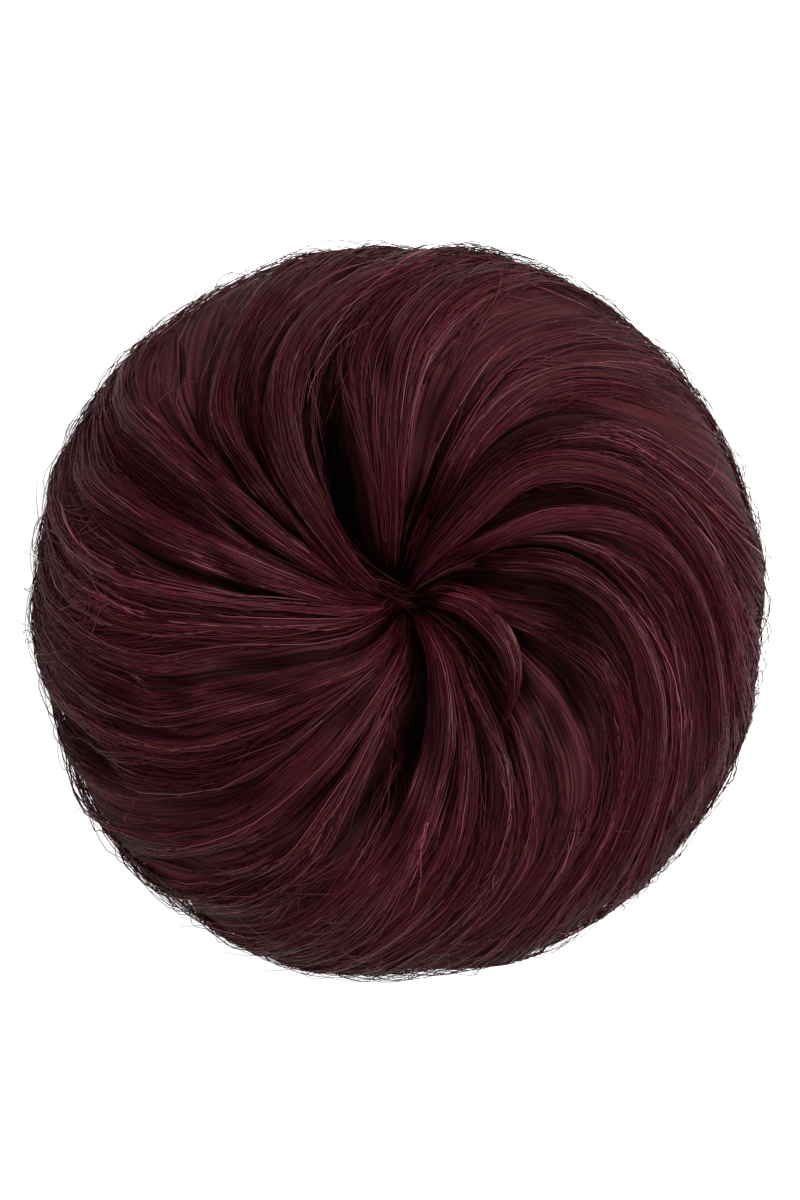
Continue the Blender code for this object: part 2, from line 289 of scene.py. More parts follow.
def smooth(x, xs, ys):
    """A smooth curve through the points (xs, ys), read at x. The rows of ys may be arrays."""
    xs = np.asarray(xs, float)
    ys = np.asarray(ys, float)
    slope = np.gradient(ys, xs, axis=0)
    x = np.clip(x, xs[0], xs[-1])
    i = np.clip(np.searchsorted(xs, x) - 1, 0, len(xs) - 2)
    span = xs[i + 1] - xs[i]
    t = (x - xs[i]) / span
    return (
        ys[i] * (1 + 2 * t) * (1 - t) ** 2
        + slope[i] * span * t * (1 - t) ** 2
        + ys[i + 1] * t * t * (3 - 2 * t)
        + slope[i + 1] * span * t * t * (t - 1)
    )


def meridian(station):
    """(radius, height) of the ring's section at a station, before any relief."""
    arc = min(int(station), SEAT)
    turn = (station - arc) * pi / 2
    c, s = np.cos(turn), np.sin(turn)
    seat_radius = BAND_THICKNESS / 2 + SEAT_CLEARANCE
    seat_turn = radians(SEAT_HALF_ANGLE)
    edge_radius = BAND_RADIUS + seat_radius * np.cos(seat_turn)
    edge_rise = seat_radius * np.sin(seat_turn)
    if arc < CROWN:
        return CROWN_RADIUS - (CROWN_RADIUS - PIT_RADIUS) * c, PIT_FLOOR + (HEIGHT - PIT_FLOOR) * s
    if arc < RIM:
        return CROWN_RADIUS + (OUTER_RADIUS - CROWN_RADIUS) * s, RIM_HEIGHT + (HEIGHT - RIM_HEIGHT) * c
    if arc < FOOT_OUTER:
        return FOOT_OUTER_RADIUS + (OUTER_RADIUS - FOOT_OUTER_RADIUS) * c, RIM_HEIGHT * (1 - s)
    if arc < FOOT_INNER:
        share = station - FOOT_OUTER
        return FOOT_OUTER_RADIUS + (FOOT_INNER_RADIUS - FOOT_OUTER_RADIUS) * share, 0.0
    if arc < LIP:
        lip_rise = BAND_HEIGHT - edge_rise
        return edge_radius + (FOOT_INNER_RADIUS - edge_radius) * (1 - s), lip_rise * (1 - c)
    if arc < SEAT:
        turn = seat_turn * (2 * (station - LIP) - 1)
        return BAND_RADIUS + seat_radius * np.cos(turn), BAND_HEIGHT + seat_radius * np.sin(turn)
    shoulder = BAND_HEIGHT + edge_rise
    return CEILING_RADIUS + (edge_radius - CEILING_RADIUS) * c, shoulder + (CEILING_HEIGHT - shoulder) * s


def station_at(radius_share):
    """The station on the front of the bun at a share of the outer radius."""
    radius = radius_share * OUTER_RADIUS
    if radius < CROWN_RADIUS:
        turn = np.arccos(min(1, (CROWN_RADIUS - radius) / (CROWN_RADIUS - PIT_RADIUS)))
        return turn / (pi / 2)
    return CROWN + np.arcsin((radius - CROWN_RADIUS) / (OUTER_RADIUS - CROWN_RADIUS)) / (pi / 2)


def lock_directions(station):
    """The direction of every lock at a station, in degrees, and of the first one again."""
    table = np.array([lock[:5] for lock in LOCKS], float).T
    rim = table[-1] - EDGE_SWEEP
    side = rim - SIDE_SWEEP
    foot = side - FOOT_SWEEP
    stations = [0, *map(station_at, TABLE_RADII), RIM, FOOT_OUTER, FOOT_INNER, CEILING]
    rows = np.array([table[0], *table, rim, side, foot, foot])
    every = smooth(station, stations, rows)
    return np.append(every, every[0] + 360)


# The section and the locks' directions, tabled once at close stations
STATIONS = np.linspace(0, CEILING, 1401)
SECTION = np.array([meridian(station) for station in STATIONS])
ALONG = np.gradient(SECTION, axis=0)
ALONG /= np.linalg.norm(ALONG, axis=1, keepdims=True)
OUTWARD = np.stack([-ALONG[:, 1], ALONG[:, 0]], axis=1)
LENGTH = np.append(0, np.cumsum(np.linalg.norm(np.diff(SECTION, axis=0), axis=1)))
DIRECTIONS = np.array([lock_directions(station) for station in STATIONS])
GROOVES = np.array([lock.groove for lock in LOCKS]) * MM
LIFTS = np.array([lock.lift for lock in LOCKS]) * MM


def tabled(column, station):
    """A column of the tabled section, read at stations."""
    return np.interp(station, STATIONS, column)


def direction(place, station):
    """The direction, in degrees, at a place between locks. It takes arrays."""
    turns, place = np.divmod(place, len(LOCKS))
    row = np.minimum(place.astype(int), len(LOCKS) - 1)
    across = place - row
    step = np.clip(station / CEILING, 0, 1) * (len(STATIONS) - 1)
    low = np.minimum(step.astype(int), len(STATIONS) - 2)
    along = step - low
    first = DIRECTIONS[low, row] * (1 - across) + DIRECTIONS[low, row + 1] * across
    second = DIRECTIONS[low + 1, row] * (1 - across) + DIRECTIONS[low + 1, row + 1] * across
    ease = np.interp(station, *zip(*SWIRL_EASE))
    return first * (1 - along) + second * along + 360 * turns + ease


def place_towards(angle, station):
    """The places between locks that lie in these directions at one station."""
    every = lock_directions(station)
    return np.interp((angle - every[0]) % 360 + every[0], every, range(len(every)))


def relief(place, station):
    """How far the locks' surface stands above the mean one."""
    turns, place = np.divmod(place, len(LOCKS))
    row = np.minimum(place.astype(int), len(LOCKS) - 1)
    across = place - row
    lifts = np.append(LIFTS, LIFTS[0])
    crest = lifts[row] * (1 - across) + lifts[row + 1] * across
    groove = GROOVES[row] * np.sin(pi * np.clip(across, 0, 1)) ** GROOVE_SHARPNESS
    gain = np.interp(station, CALMING, (GROOVE_GAIN, GAIN_AT_RIM))
    return (crest - gain * groove) * np.interp(station, *zip(*GROOVE_FADE))


def gathered(place, station, flatness):
    """Places drawn towards the crests of their locks, the more so beside a deep groove."""
    row = np.floor(place)
    across = place - row
    pull = np.clip(GROOVES[row.astype(int) % len(LOCKS)] / FULL_PULL_GROOVE, *PULL_LIMITS)
    pull = pull * np.sqrt(np.interp(station, *zip(*GROOVE_FADE))) * np.interp(station, CALMING, (1, 0.5))
    pull = pull * flatness
    for again in range(GATHERINGS):
        across = across - pull * np.sin(2 * pi * across) / (2 * pi)
    return row + across


def flat_point(angle, station, radius):
    """(x, y) of points at a distance from the parting, which lies a little off the middle."""
    radius = radius * np.interp(station, (0, PINCH_STATION), (PINCH_SHARE, 1))
    off_middle = np.where(station < RIM, np.clip(1 - radius / OUTER_RADIUS, 0, 1), 0)
    turn = np.radians(angle)
    return PARTING_X * off_middle + radius * np.cos(turn), PARTING_Y * off_middle + radius * np.sin(turn)


def hollowness(angle, station):
    """How far into a deep place between locks a point is, from 0 to 1."""
    x, y = flat_point(angle, station, tabled(SECTION[:, 0], station))
    most = np.zeros(np.shape(x))
    for hollow in HOLLOWS:
        for share in np.linspace(0, 1, HOLLOW_STEPS):
            reach = OUTER_RADIUS * (hollow.start_radius * (1 - share) + hollow.end_radius * share)
            turn = radians(hollow.start_angle * (1 - share) + hollow.end_angle * share)
            off = (x - reach * np.cos(turn)) ** 2 + (y - reach * np.sin(turn)) ** 2
            strength = hollow.strength * (0.35 + 0.65 * np.sin(pi * (0.1 + 0.8 * share)))
            most = np.maximum(most, strength * np.exp(-off / (hollow.half_width * MM) ** 2))
    return np.where(station < RIM, most, 0)


def pushed_aside(angle, station):
    """Directions of hairs, moved off the deep places towards the locks on either side."""
    radius = tabled(SECTION[:, 0], station)
    reach = np.degrees(PUSH_REACH / radius)
    step = reach / 4
    pushed = angle
    for again in range(PUSHES):
        rise = hollowness(pushed + step, station) - hollowness(pushed - step, station)
        pushed = pushed - 0.5 * reach ** 2 * rise / (2 * step)
    push = pushed - angle
    push[:, 1:-1] = push[:, :-2] / 4 + push[:, 1:-1] / 2 + push[:, 2:] / 4
    return angle + push


def dent_depth(angle, station):
    """How far the outline is pressed in, in these directions."""
    strength = np.interp(station, (CROWN, RIM, FOOT_OUTER), (0, 1, 0))
    depth = 0
    for dent in DENTS:
        off = ((angle - dent.angle + 180) % 360 - 180) / dent.half_width
        depth = depth + dent.depth * np.exp(-off * off)
    return depth * strength * MM


def hair_points(angle, station, height):
    """(points, directions out of the hair) for arrays of directions, stations and heights."""
    out_across = tabled(OUTWARD[:, 0], station)
    out_up = tabled(OUTWARD[:, 1], station)
    radius = tabled(SECTION[:, 0], station) + out_across * height - dent_depth(angle, station)
    up = tabled(SECTION[:, 1], station) + out_up * height
    x, y = flat_point(angle, station, radius)
    turn = np.radians(angle)
    points = np.stack([x, y, up], axis=-1)
    normals = np.stack([out_across * np.cos(turn), out_across * np.sin(turn), out_up], axis=-1)
    return points, normals


def even_stations(start, end, count):
    """Stations from start to end that are evenly spaced along the section. Arrays of strands."""
    first = tabled(LENGTH, start)[:, None]
    last = tabled(LENGTH, end)[:, None]
    lengths = first + (last - first) * np.linspace(0, 1, count)
    return np.interp(lengths, LENGTH, STATIONS)


def waves(count, points, slow, quick):
    """Smooth random waves along each strand, of about unit size."""
    along = np.linspace(0, 1, points)
    total = np.zeros((count, points))
    for cycles, size in ((slow, 1.0), (quick, 0.45)):
        phase = random.uniform(0, 2 * pi, (count, 1))
        rate = random.uniform(0.6, 1.4, (count, 1)) * cycles
        total += size * np.sin(2 * pi * rate * along + phase)
    return total


def strand_tones(count, points, spread=0.13, group=None):
    """A colour for every point of every strand. Most strands of a group share one shade."""
    shares = np.array([shade.share for shade in HAIR_SHADES])
    shares = shares / shares.sum()
    pick = random.choice(len(HAIR_SHADES), count, p=shares)
    if group is not None:
        common = random.choice(len(HAIR_SHADES), group.max() + 1, p=shares)[group]
        pick = np.where(random.uniform(0, 1, count) < COMMON_SHADE, common, pick)
    colours = np.array([shade[1:] for shade in HAIR_SHADES])[pick]
    colours = colours * random.lognormal(0, spread, (count, 1))
    # Each strand's colour ripples at random along it, partly as painted glints where the hair passes in
    # and out of highlights
    ripple = np.exp(RIPPLE * waves(count, points, 1.5, 4.5))
    return colours[:, None, :] * ripple[:, :, None]


SIDES = 3

# The least, usual and greatest radius of a hair, how much its height wavers, and its room over the floor
FIBRE_RADII = (0.05, 0.085, 0.15)
RIPPLE_HEIGHT = 0.15 * MM
FLOOR_ROOM = 0.1 * MM

# Pale hair shines more than dark hair, so hair painted in shade shines less too, and all hair shines less
# from the shoulder to the rim
GLOSS_BY_TONE = 5.0
GLOSS_MOST = 0.15
GLOSS_FADE = ((46 * MM, 56 * MM), (1.0, 0.4))


def new_strands(name, points, normals, radii, tones, material):
    """One mesh of closed, three-sided hairs. points is an array of (strand, point, xyz)."""
    count, rings = points.shape[:2]
    tangent = np.gradient(points, axis=1)
    tangent /= np.linalg.norm(tangent, axis=2, keepdims=True) + 1e-12
    side = np.cross(tangent, normals)
    side /= np.linalg.norm(side, axis=2, keepdims=True) + 1e-12
    up = np.cross(side, tangent)
    turns = 2 * pi * (np.arange(SIDES) + 0.25) / SIDES
    ring = side[:, :, None] * np.cos(turns)[:, None] + up[:, :, None] * np.sin(turns)[:, None]
    vertices = points[:, :, None] + ring * radii[:, :, None, None]

    index = np.arange(count * rings * SIDES).reshape(count, rings, SIDES)
    ahead = np.roll(index, -1, axis=2)
    quads = np.stack([index[:, :-1], ahead[:, :-1], ahead[:, 1:], index[:, 1:]], axis=-1)
    ends = np.concatenate([index[:, 0, ::-1], index[:, -1]])

    strand = np.arange(count)[:, None, None, None]
    step = np.arange(rings - 1)[None, :, None, None]
    face = np.arange(SIDES)[None, None, :, None]
    u = (strand + 0.2 + 0.6 * (face + np.array([0, 1, 1, 0])) / SIDES) / count
    v = (step + np.array([0, 0, 1, 1])) / (rings - 1)
    shape = (count, rings - 1, SIDES, 4)
    quad_uv = np.stack([np.broadcast_to(u, shape), np.broadcast_to(v, shape)], axis=-1)
    end_u = (np.tile(np.arange(count), 2)[:, None] + np.array([0.3, 0.5, 0.7])) / count
    end_v = np.repeat([0.0, 1.0], count)[:, None] + np.zeros((1, 3))
    end_uv = np.stack([end_u, end_v], axis=-1)

    corners = np.concatenate([quads.ravel(), ends.ravel()])
    totals = np.concatenate([np.full(quads.size // 4, 4), np.full(ends.size // 3, 3)])
    starts = np.append(0, np.cumsum(totals)[:-1])
    uv = np.concatenate([quad_uv.reshape(-1, 2), end_uv.reshape(-1, 2)])
    gloss = np.minimum(GLOSS_BY_TONE * tones.mean(axis=2), GLOSS_MOST)
    gloss = gloss * np.interp(np.hypot(points[:, :, 0], points[:, :, 1]), *GLOSS_FADE)
    colours = np.repeat(np.dstack([tones, gloss]).reshape(-1, 4), SIDES, axis=0)

    mesh = bpy.data.meshes.new(name)
    mesh.vertices.add(index.size)
    mesh.vertices.foreach_set("co", vertices.ravel())
    mesh.loops.add(len(corners))
    mesh.loops.foreach_set("vertex_index", corners)
    mesh.polygons.add(len(totals))
    mesh.polygons.foreach_set("loop_start", starts)
    mesh.polygons.foreach_set("loop_total", totals)
    mesh.uv_layers.new(name="OFBake").data.foreach_set("uv", uv.ravel())
    mesh.color_attributes.new("tone", "FLOAT_COLOR", "POINT").data.foreach_set("color", colours.ravel())
    mesh.update(calc_edges=True)
    mesh.validate()
    mesh.shade_smooth()
    mesh.materials.append(material)
    obj = bpy.data.objects.new(name, mesh)
    bpy.context.scene.collection.objects.link(obj)
    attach(obj, "root")
    return obj


def fibre_radii(count):
    """Radii of the hairs: most are fine, and some are two or three fibres that cling together."""
    return random.triangular(*FIBRE_RADII, count) * MM


def tapered(radius, rings, root=0.7, tip=0.25):
    """The radius along each hair, thinner at both ends."""
    along = np.linspace(0, 1, rings)
    shape = np.interp(along, (0, 0.12, 0.75, 1), (root, 1, 0.9, tip))
    return radius[:, None] * shape


# Hair material


def principled(name, roughness, specular):
    """A new material and its shader."""
    material = bpy.data.materials.new(name)
    material.use_nodes = True
    shader = material.node_tree.nodes["Principled BSDF"]
    shader.inputs["Roughness"].default_value = roughness
    shader.inputs["Specular IOR Level"].default_value = specular
    return material, shader


def hair_material():
    """Dyed fibre: every hair has its own tone, with painted shade and light in it, and gloss, held on its
    points.
    """
    material, shader = principled("hair_fibre", 0.40, 0.0)
    nodes = material.node_tree.nodes
    links = material.node_tree.links
    tone = nodes.new("ShaderNodeAttribute")
    tone.attribute_name = "tone"
    links.new(tone.outputs["Color"], shader.inputs["Base Color"])
    links.new(tone.outputs["Alpha"], shader.inputs["Specular IOR Level"])
    return material


hair = hair_material()

# Coat: tufts of hair that follow the locks from the parting to the back

Tufts = namedtuple(
    "Tufts",
    "count hairs rings start start_spread end end_spread width thickness height drift sector",
)
ALL_ROUND = (0, 360)
COAT = Tufts(232, 19, 18, 0.20, 0.16, 2.62, 0.33, (2.2, 6.0), (0.8, 2.6), (-0.4, 0.8), 0.5, ALL_ROUND)
SHORT = Tufts(80, 9, 11, 0.95, 0.5, 1.85, 0.45, (1.4, 4.2), (0.4, 1.2), (0.7, 0.7), 0.9, ALL_ROUND)
FEATHERS = Tufts(90, 11, 9, 1.15, 0.3, 1.62, 0.35, (2.0, 4.5), (0.6, 1.6), (0.9, 0.5), 0.6, (185, 300))
COAT_PIECES = 6
CLUMPS = 4

# A hair that the deep places bend by more than this from one ring to the next is left out
MOST_KINK = 0.4 * MM

UNRULY_SHARE = 0.4
UNRULY_WAVE = 0.8 * MM
USUAL_WAVE = 0.16 * MM
FULL_SWAY_STATIONS = 1.8
FULL_DRIFT_WIDTH = 9
HAIR_DRIFT = 0.22
TUFT_SINK = 1.8 * MM
BRIGHTEST_TUFT = 1.35
# Painted light and shade: higher tufts are painted paler and lower ones darker, as more or less light gets
# to them
PAINTED_LIGHT_BY_HEIGHT = 0.16
FULL_WIDTH_RADIUS = 42 * MM
GROOVE_SHADE_DEPTH = 4.0 * MM
# Painted shade at the roots and painted light by the rim: stations, then factors on the hair's colour
PAINTED_LIGHT_BY_STATION = ((0, 0.4, 0.9, 1.5, 2.0), (0.85, 0.85, 0.92, 1.10, 1.45))

# The hair lies smooth on the right and loose on the lower left, where less light gets to it too
Quarter = namedtuple("Quarter", "angle looseness light flatness")
QUARTERS = (
    Quarter(0, 0.5, 1.05, 0.4),
    Quarter(60, 0.6, 0.97, 0.6),
    Quarter(110, 1.0, 1.02, 1.0),
    Quarter(170, 1.1, 1.0, 1.0),
    Quarter(225, 1.6, 0.86, 1.0),
    Quarter(280, 1.1, 1.0, 0.8),
    Quarter(320, 0.6, 1.0, 0.4),
)
LOOSENESS, LIGHT, FLATNESS = 1, 2, 3
QUARTER_STATIONS = (0.8, 1.3)


def by_quarter(column, angle, station):
    """A column of the table of quarters, read outside the crown. It is 1 at the crown."""
    angles = [quarter.angle for quarter in QUARTERS]
    value = np.interp(angle, angles, [quarter[column] for quarter in QUARTERS], period=360)
    return 1 + (value - 1) * np.interp(station, QUARTER_STATIONS, (0, 1))


def painted_light_by_station(station):
    """Painted shade and light: the hair is painted darkest at its roots, where least light gets in, and
    palest by the rim, where more light falls.
    """
    return np.interp(station, *PAINTED_LIGHT_BY_STATION)


def groove_tone(place, station):
    """Less light gets to the hair that lies in the grooves between the locks."""
    return np.exp(np.minimum(relief(place, station), 0) / GROOVE_SHADE_DEPTH)


def coat_places(count, sector):
    """Places spread evenly over a sector, half of them at the crown and half at the rim."""
    angles = sector[0] + (np.arange(count) + random.uniform(0, 1, count)) * (sector[1] - sector[0]) / count
    crown = place_towards(angles[::2], 0.8)
    rim = place_towards(angles[1::2], 1.7)
    return np.sort(np.concatenate([crown, rim]))


def make_tufts(tufts, name, pieces, from_roots):
    """Tufts of hair along the locks. Each has its own width, thickness, height and tone, and its colour is
    painted darker with shade at the roots, in the grooves and in the deep places, and paler with painted
    light by the rim.
    """
    number = tufts.count
    tuft_place = coat_places(number, tufts.sector)
    tuft_width = random.uniform(*tufts.width, number) * MM
    tuft_thickness = random.uniform(*tufts.thickness, number) * MM
    tuft_height = random.normal(*tufts.height, number) * MM
    row_widths = np.diff(lock_directions(1.2))[tuft_place.astype(int) % len(LOCKS)]
    drift_scale = np.minimum(1, FULL_DRIFT_WIDTH / row_widths)
    tuft_drift = random.normal(0, tufts.drift, number)
    tuft_start = tufts.start + random.uniform(-1, 1, number) * tufts.start_spread
    tuft_end = tufts.end + random.uniform(-1, 1, number) * tufts.end_spread
    # Each tuft's tone differs at random, with painted light by its height, and ripples along it, partly as
    # a painted highlight band
    tuft_tone = random.lognormal(0, 0.25, number) * np.exp(PAINTED_LIGHT_BY_HEIGHT * tuft_height / MM)
    tuft_tone = np.minimum(tuft_tone, BRIGHTEST_TUFT)
    tuft_tone = tuft_tone[:, None] * (1 + 0.10 * waves(number, tufts.rings, 1, 2.5))

    tuft = np.repeat(np.arange(number), tufts.hairs)
    count = len(tuft)
    clump = tuft * CLUMPS + random.integers(0, CLUMPS, count)
    clump_u = random.uniform(-1, 1, number * CLUMPS)
    clump_v = random.uniform(0, 1, number * CLUMPS) ** 0.6
    clump_tone = random.lognormal(0, 0.15, number * CLUMPS)
    v = np.clip(clump_v[clump] + random.normal(0, 0.12, count), 0, 1)
    start = np.maximum(tuft_start[tuft] + random.uniform(-0.06, 0.06, count), 0.03)
    end = tuft_end[tuft] + random.uniform(-0.2, 0.08, count)
    along = np.linspace(0, 1, tufts.rings)
    loosening = np.interp(along, (0, 0.5, 1), (0.08, 0.14, 0.32))
    u = np.clip(clump_u[clump][:, None] + random.normal(0, 1, count)[:, None] * loosening, -1.2, 1.2)
    station = even_stations(start, end, tufts.rings)
    drift = (tuft_drift[tuft] + random.normal(0, HAIR_DRIFT, count)) * drift_scale[tuft]
    place = tuft_place[tuft][:, None] + drift[:, None] * (along - 0.35)
    flatness = by_quarter(FLATNESS, direction(place, station), station)
    place = gathered(place, station, flatness)
    if from_roots:
        spread = np.interp(along, (0, 0.15, 0.45, 1), (0.3, 0.6, 1, 0.85))
        sunk = np.clip((along - 0.9) / 0.1, 0, 1)
    else:
        spread = np.interp(along, (0, 0.3, 0.6, 1), (0.3, 1, 0.8, 0.12))
        sunk = np.clip(1 - along / 0.2, 0, 1) + 0.5 * np.clip((along - 0.8) / 0.2, 0, 1)
    radius = tabled(SECTION[:, 0], station)
    spread = spread * np.clip(radius / FULL_WIDTH_RADIUS, 0.1, 1)
    offset = tuft_width[tuft][:, None] / 2 * u * spread
    unruly = np.where(random.uniform(0, 1, count) < UNRULY_SHARE, UNRULY_WAVE, USUAL_WAVE)
    sway = unruly * np.clip((end - start) / FULL_SWAY_STATIONS, 0, 1)
    offset = offset + waves(count, tufts.rings, 1.4, 3.6) * sway[:, None]
    straight = direction(place, station) + np.degrees(offset / radius)
    angle = pushed_aside(straight, station)
    kink = np.abs(np.diff(np.radians(angle - straight) * radius, 2, axis=1)).max(axis=1)
    deep = hollowness(angle, station)
    calm = np.interp(station, CALMING, (1, 0.4)) * by_quarter(LOOSENESS, angle, station)
    lens = (1 - u * u) * v[:, None] * tuft_thickness[tuft][:, None] * np.sin(pi * along * 0.9 + 0.15)
    height = relief(place, station) * flatness + (tuft_height[tuft][:, None] + lens) * calm
    height = height - HOLLOW_DEPTH * deep
    height = height + waves(count, tufts.rings, 1, 2.5) * RIPPLE_HEIGHT - TUFT_SINK * sunk
    points, normals = hair_points(angle, station, height)
    if from_roots:
        points[:, :, 2] -= ROOT_DROP * np.clip(1 - along / ROOT_LENGTH, 0, 1)
    radii = tapered(fibre_radii(count), tufts.rings)
    points[:, :, 2] = np.maximum(points[:, :, 2], radii + FLOOR_ROOM)
    light = tuft_tone[tuft] ** np.sqrt(calm) * clump_tone[clump][:, None]
    light = light * painted_light_by_station(station) * groove_tone(place, station)
    light = light * np.exp(-HOLLOW_SHADE * deep) * by_quarter(LIGHT, angle, station)
    tones = strand_tones(count, tufts.rings, group=clump) * light[:, :, None]

    kept = np.flatnonzero(kink < MOST_KINK)
    for piece, rows in enumerate(np.array_split(kept, pieces)):
        new_strands(f"{name}_{piece + 1}", points[rows], normals[rows], radii[rows], tones[rows], hair)


# Under-mass: the body of hair that shows between the strands, painted darker with shade in the grooves,
# the deep places and the pit

UNDER_COLUMNS = 320
UNDER_INSET = 2.4 * MM
UNDER_INSETS = ((0, 1.3, 1.75, FOOT_OUTER, FOOT_INNER, LIP, CEILING), (1, 1, 0.4, 0.4, 0.5, 0.3, 0.3))
UNDER_FLOOR_ROOM = 0.4 * MM
UNDER_ROWS = 70
PIT_DEPTH = 4 * MM
UNDER_HOLLOW_SHADE = 0.4
PIT_SHADE = 0.02
STREAKS_ROUND = 520
STREAKS_ALONG = 9


def under_material():
    """Hair in streaks that run along the locks, darkened by the painted shade held in its tone."""
    material, shader = principled("hair_under", 0.7, 0.04)
    nodes = material.node_tree.nodes
    links = material.node_tree.links
    way = nodes.new("ShaderNodeUVMap")
    way.uv_map = "hair_way"
    stretch = nodes.new("ShaderNodeMapping")
    stretch.inputs["Scale"].default_value = (STREAKS_ROUND, STREAKS_ALONG, 1)
    streaks = nodes.new("ShaderNodeTexNoise")
    streaks.inputs["Scale"].default_value = 1
    streaks.inputs["Detail"].default_value = 3
    light = nodes.new("ShaderNodeMapRange")
    light.inputs["From Min"].default_value = 0.35
    light.inputs["From Max"].default_value = 0.7
    light.inputs["To Min"].default_value = 0.1
    light.inputs["To Max"].default_value = 1.9
    tone = nodes.new("ShaderNodeAttribute")
    tone.attribute_name = "tone"
    shaded = nodes.new("ShaderNodeVectorMath")
    shaded.operation = "SCALE"
    bump = nodes.new("ShaderNodeBump")
    bump.inputs["Strength"].default_value = 0.6
    bump.inputs["Distance"].default_value = 0.2 * MM
    links.new(way.outputs["UV"], stretch.inputs["Vector"])
    links.new(stretch.outputs["Vector"], streaks.inputs["Vector"])
    links.new(streaks.outputs["Fac"], light.inputs["Value"])
    links.new(tone.outputs["Color"], shaded.inputs[0])
    links.new(light.outputs["Result"], shaded.inputs["Scale"])
    links.new(shaded.outputs["Vector"], shader.inputs["Base Color"])
    links.new(streaks.outputs["Fac"], bump.inputs["Height"])
    links.new(bump.outputs["Normal"], shader.inputs["Normal"])
    return material


def make_under_mass():
    """One closed body a little under the strands, from the pit round to the hollow's ceiling."""
    places = np.arange(UNDER_COLUMNS) * len(LOCKS) / UNDER_COLUMNS
    stations = even_stations(np.array([0.02]), np.array([CEILING - 0.02]), UNDER_ROWS)[0]
    place, station = np.meshgrid(places, stations)
    inset = np.interp(station, *UNDER_INSETS)
    angle = direction(place, station)
    deep = hollowness(angle, station)
    flatness = by_quarter(FLATNESS, angle, station)
    height = relief(place, station) * flatness - UNDER_INSET * inset - HOLLOW_DEPTH * deep
    points, _ = hair_points(angle, station, height)
    points[:, :, 2] = np.maximum(points[:, :, 2], UNDER_FLOOR_ROOM)
    vertices = [tuple(point) for point in points.reshape(-1, 3)]
    faces = []
    count = UNDER_COLUMNS
    for row in range(UNDER_ROWS - 1):
        for i in range(count):
            j = (i + 1) % count
            faces.append((row * count + j, row * count + i, (row + 1) * count + i, (row + 1) * count + j))
    first = range(count)
    last = range((UNDER_ROWS - 1) * count, UNDER_ROWS * count)
    vertices.append((PARTING_X, PARTING_Y, PIT_FLOOR - PIT_DEPTH))
    faces += [(i, (i + 1) % count, len(vertices) - 1) for i in first]
    faces.append(tuple(last)[::-1])
    mesh = bpy.data.meshes.new("hair_under_mass")
    mesh.from_pydata(vertices, [], faces)
    mesh.validate()
    # Painted shade: the under-mass is painted darker in the deep places and grooves, and nearly black in
    # the pit
    shade = np.exp(-UNDER_HOLLOW_SHADE * deep) * groove_tone(place, station)
    shade = np.append(shade * np.interp(station, (0, 0.35), (PIT_SHADE, 1)), PIT_SHADE)
    tones = shade[:, None] * np.array(UNDER_COLOUR)
    tones[:, 3] = 1
    mesh.color_attributes.new("tone", "FLOAT_COLOR", "POINT").data.foreach_set("color", tones.ravel())
    corner = np.array([loop.vertex_index for loop in mesh.loops])
    round_share = np.append(place / len(LOCKS), 0.5)[corner]
    along_share = np.append(np.broadcast_to(stations[:, None] / CEILING, place.shape), 0)[corner]
    first_loops = [face.loop_start for face in mesh.polygons]
    corner_counts = [face.loop_total for face in mesh.polygons]
    first_corner = np.repeat(first_loops, corner_counts)
    wraps = round_share[first_corner] - round_share > 0.5
    way = np.stack([round_share + wraps, along_share], axis=-1)
    mesh.uv_layers.new(name="hair_way").data.foreach_set("uv", way.ravel())
    mesh.shade_smooth()
    mesh.materials.append(under_material())
    obj = bpy.data.objects.new("hair_under_mass", mesh)
    bpy.context.scene.collection.objects.link(obj)
    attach(obj, "root")
    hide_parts("hair_ring")


# Top locks: broad bundles that lie over the coat

LOCK_HAIRS = 100
LOCK_SINK = 2.6 * MM
LOCK_END_SINK = 1.6 * MM
LOCK_REACH = (0.25, 0.18)
LOCK_SHADE = 1.0
LOCK_RINGS = 18


def make_lock_strands(name, path_station, path_angle, width, thickness, spreads, brightness):
    """The strands of one lock along a path of stations and directions. They part at its end."""
    u = random.uniform(-1, 1, LOCK_HAIRS)
    v = random.uniform(0, 1, LOCK_HAIRS) ** 0.5
    along = np.linspace(0, 1, LOCK_RINGS)
    first = random.uniform(0, 0.12, LOCK_HAIRS)[:, None]
    last = random.uniform(0.58, 1, LOCK_HAIRS)[:, None]
    at = first + (last - first) * along
    steps = np.linspace(0, 1, len(path_station))
    station = np.interp(at, steps, path_station)
    spread = np.interp(at, SPREAD_STEPS, spreads)
    offset = u[:, None] * width / 2 * spread + waves(LOCK_HAIRS, LOCK_RINGS, 1.1, 2.5) * 0.3 * MM
    radius = tabled(SECTION[:, 0], station)
    angle = np.interp(at, steps, path_angle) + np.degrees(offset / radius)
    deep = hollowness(angle, station)
    body = np.interp(at, (0, 0.2, 0.5, 0.8, 1), (0.3, 0.9, 1, 0.45, 0))
    rise = (v * (1 - 0.85 * u * u))[:, None] * thickness * body
    ends = np.clip(1 - along / 0.12, 0, 1) + np.clip(1 - (1 - along) / 0.1, 0, 1)
    height = LOCK_GAP + rise - LOCK_END_SINK * ends - LOCK_SINK * deep
    height = height + waves(LOCK_HAIRS, LOCK_RINGS, 1, 2.5) * RIPPLE_HEIGHT
    points, normals = hair_points(angle, station, height)
    radii = tapered(fibre_radii(LOCK_HAIRS), LOCK_RINGS)
    light = brightness * painted_light_by_station(station) * np.exp(-LOCK_SHADE * deep)
    light = light * np.interp(at, (0, 0.5, 1), (1.1, 1.1, 0.9))
    tones = strand_tones(LOCK_HAIRS, LOCK_RINGS) * light[:, :, None]
    lock = new_strands(name + "_hairs", points, normals, radii, tones, hair)
    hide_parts(name)


